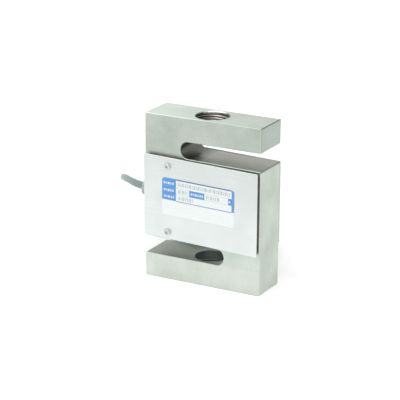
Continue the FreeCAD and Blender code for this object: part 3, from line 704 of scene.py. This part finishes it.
# Label print: fields, rules and plain marks, in millimetres from the label's lower left corner
label = {
    "slope": 0.02846,  # the label leans with the plate, down to the right
    "lift": 0.02,  # thickness of each printed layer
    "sink": 0.001,  # how far a layer reaches into what it lies on
    "corner": 1.8,
    "cornerSegments": 6,
    # left, bottom, right, top, rounded corner
    "fields": (
        (0.0, 9.2, 9.3, 22.6, "topLeft"),
        (18.2, 13.4, 28.2, 17.3, None),
        (43.8, 13.4, 46.2, 17.3, None),
        (46.1, 9.2, 47.8, 20.81, None),
        (46.0, 20.8, 47.8, 22.6, "topRight"),
    ),
    "rules": (
        (9.3, 21.95, 46.01, 22.6, None),
        (9.3, 8.95, 46.1, 9.35, None),
    ),
    "fineRules": (
        (9.3, 17.24, 46.1, 17.38, None),
        (9.3, 13.34, 46.1, 13.48, None),
    ),
    # left, right, middle, height
    "whiteMarks": (
        (1.2, 8.2, 19.6, 1.4), (1.2, 8.2, 15.3, 1.4), (1.5, 7.9, 11.3, 1.3),
        (19.3, 27.3, 15.35, 1.3), (44.3, 45.8, 15.35, 1.2),
    ),
    "greyMarks": (
        (10.8, 45.0, 19.7, 2.3), (10.8, 16.9, 15.35, 2.3),
        (29.4, 38.0, 15.35, 2.3), (11.0, 20.6, 11.35, 2.3),
    ),
    "markWidths": (1.0, 0.5, 1.3, 0.7, 0.9, 1.5, 0.6),
    "markGap": 0.55,
}


def plainMarks(rows):
    # Plain dashes of mixed widths, as many in each row as it has room for
    fields = []
    for left, right, middle, height in rows:
        start, number = left, 0
        while start < right:
            width = label["markWidths"][number % len(label["markWidths"])]
            fields.append((start, middle - height / 2, min(start + width, right), middle + height / 2, None))
            start += width + label["markGap"]
            number += 1
    return fields


def makeLabelPrint(name, fields, material, layer=1):
    low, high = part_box("rating_label")
    left, right, front, bottom = low[0] / mm, high[0] / mm, low[1] / mm, low[2] / mm
    shape = bmesh.new()
    toRound = []
    for x0, z0, x1, z1, rounded in fields:
        corners = {"bottomLeft": (x0, z0), "bottomRight": (x1, z0), "topRight": (x1, z1), "topLeft": (x0, z1)}
        verts = {corner: shape.verts.new((x, 0, z)) for corner, (x, z) in corners.items()}
        shape.faces.new(list(verts.values()))
        if rounded:
            toRound.append(verts[rounded])
    if toRound:
        bmesh.ops.bevel(
            shape, geom=toRound, offset=label["corner"], offset_type="OFFSET", affect="VERTICES",
            segments=label["cornerSegments"], profile=0.5, material=-1,
        )
    grown = bmesh.ops.extrude_face_region(shape, geom=shape.faces[:])["geom"]
    grownVerts = [part for part in grown if isinstance(part, bmesh.types.BMVert)]
    bmesh.ops.translate(shape, vec=(0, -label["lift"], 0), verts=grownVerts)
    lean = Matrix.Identity(4)
    lean[2][0] = -label["slope"]  # lower as x rises
    back = front - label["lift"] * (layer - 1) + label["sink"]
    corner = Matrix.Translation((left, back, bottom + label["slope"] * (right - left)))
    bmesh.ops.transform(shape, matrix=corner @ lean, verts=shape.verts)
    meshPiece(name, shape, material)


blueInk = printedFilm("blueLabelInk", "639CD5", "4585CB", filmLook)
deepBlueInk = printedFilm("deepBlueLabelInk", "557BAA", "476A98", filmLook)
paleBlueInk = printedFilm("paleBlueLabelInk", "A5B8CB", "96ABC0", filmLook)
whiteInk = printedFilm("whiteLabelInk", "DCE6EF", "CBD9E8", filmLook)
greyInk = printedFilm("greyLabelInk", "C2CBCC", "B2BCBE", filmLook)

makeLabelPrint("label_blue_fields", label["fields"], blueInk)
makeLabelPrint("label_rules", label["rules"], deepBlueInk)
makeLabelPrint("label_fine_rules", label["fineRules"], paleBlueInk)
makeLabelPrint("label_white_marks", plainMarks(label["whiteMarks"]), whiteInk, 2)
makeLabelPrint("label_grey_marks", plainMarks(label["greyMarks"]), greyInk)
print("label")


# Stage, light and camera, in metres where a note says nothing else; the object's front faces -y
stage = {
    "floorSize": 8.0,
    "floor": "F7F7F6",
    "floorDark": "F4F4F3",
    "paperSize": 83.3,  # millimetres across the paper's uneven patches
    "glow": 0.36,  # painted light: how strongly the paper glows, though no lamp lies under it
    "glowEnds": (-0.07, -0.26),  # y in front of the object where it starts to fail and where it is gone
    "backGlow": 0.06,
    "backEnds": (-0.012, 0.03),  # y where it starts to fall to that behind and where it has
    "farShade": 0.62,  # painted shade: how bright the paper is far in front
    "shadeEnds": (-0.16, -0.45),  # y where it starts to darken and where it is as dark as that
    "world": "FFFFFF",
    "worldStrength": 1.0,
}


def whitePaperSweep(name, look):
    # White paper, unrolled under the object: dull, a little uneven, with a painted glow around the object,
    # strongest in front, and painted shade far in front
    material, tree, place = startMaterial(name)
    depth = addNode(tree, "ShaderNodeSeparateXYZ", {0: place}).outputs["Y"]
    paper = addNode(tree, "ShaderNodeTexNoise", {
        "Vector": place, "Scale": 1 / (look["paperSize"] * mm), "Detail": 2.0, "Roughness": noiseRoughness,
    })
    white = mottledTone(tree, paper.outputs["Fac"], look["floorDark"], look["floor"])
    shade = addNode(tree, "ShaderNodeMapRange", {
        "Value": depth, "From Min": look["shadeEnds"][1], "From Max": look["shadeEnds"][0],
        "To Min": look["farShade"], "To Max": 1.0,
    })
    tone = addNode(tree, "ShaderNodeMix", {
        "data_type": "RGBA", 0: shade.outputs["Result"], 6: "000000", 7: white,
    })
    front = addNode(tree, "ShaderNodeMapRange", {
        "Value": depth, "From Min": look["glowEnds"][1], "From Max": look["glowEnds"][0],
        "To Min": 0.0, "To Max": look["glow"],
    })
    back = addNode(tree, "ShaderNodeMapRange", {
        "Value": depth, "From Min": look["backEnds"][0], "From Max": look["backEnds"][1],
        "To Min": look["glow"], "To Max": look["backGlow"],
    })
    glow = addNode(tree, "ShaderNodeMath", {
        "operation": "MINIMUM", 0: front.outputs["Result"], 1: back.outputs["Result"],
    })
    endMaterial(tree, {
        "Base Color": tone.outputs[2], "Roughness": 0.8,
        "Emission Color": look["floor"], "Emission Strength": glow.outputs[0],
    })
    return material


def makeFloor():
    shape = bmesh.new()
    bmesh.ops.create_grid(shape, x_segments=1, y_segments=1, size=stage["floorSize"] / 2)
    mesh = bpy.data.meshes.new("floor")
    shape.to_mesh(mesh)
    shape.free()
    mesh.materials.append(whitePaperSweep("whitePaperSweep", stage))
    addObject("floor", mesh)


def makeWorld():
    world = bpy.data.worlds.new("softStudio")
    world.use_nodes = True
    background = world.node_tree.nodes["Background"]
    background.inputs["Color"].default_value = linearColour(stage["world"])
    background.inputs["Strength"].default_value = stage["worldStrength"]
    bpy.context.scene.world = world
    bpy.context.scene.view_settings.view_transform = "Standard"


overheadLamp = {
    "place": (-0.3, -0.2, 1.4),
    "aim": (0, 0, 0.05),
    "size": 1.2,
    "power": 6.0,
}


def makeLamp(name, lamp):
    light = bpy.data.lights.new(name, "AREA")
    light.size = lamp["size"]
    light.energy = lamp["power"]
    thing = addObject(name, light)
    thing.location = lamp["place"]
    thing.rotation_euler = (Vector(lamp["aim"]) - Vector(lamp["place"])).to_track_quat("-Z", "Y").to_euler()


camera = {
    "azimuth": 28.32,
    "elevation": 18.18,
    "roll": 0.32,
    "distance": 0.9991,
    "target": (-0.00668, -0.0025, 0.04947),
    "lens": 151.8,
    "sensorWidth": 36.0,
    "clipStart": 0.01,
}


def makeCamera():
    data = bpy.data.cameras.new("camera")
    data.lens = camera["lens"]
    data.sensor_width = camera["sensorWidth"]
    data.clip_start = camera["clipStart"]
    turn, tilt = math.radians(camera["azimuth"]), math.radians(camera["elevation"])
    back = Vector((math.sin(turn) * math.cos(tilt), -math.cos(turn) * math.cos(tilt), math.sin(tilt)))
    place = Matrix.Translation(Vector(camera["target"]) + back * camera["distance"])
    aim = back.to_track_quat("Z", "Y").to_matrix().to_4x4()
    thing = addObject("camera", data)
    thing.matrix_world = place @ aim @ Matrix.Rotation(math.radians(camera["roll"]), 4, "Z")
    bpy.context.scene.camera = thing


makeFloor()
makeWorld()
makeLamp("overhead", overheadLamp)
makeCamera()
print("stage, light and camera")
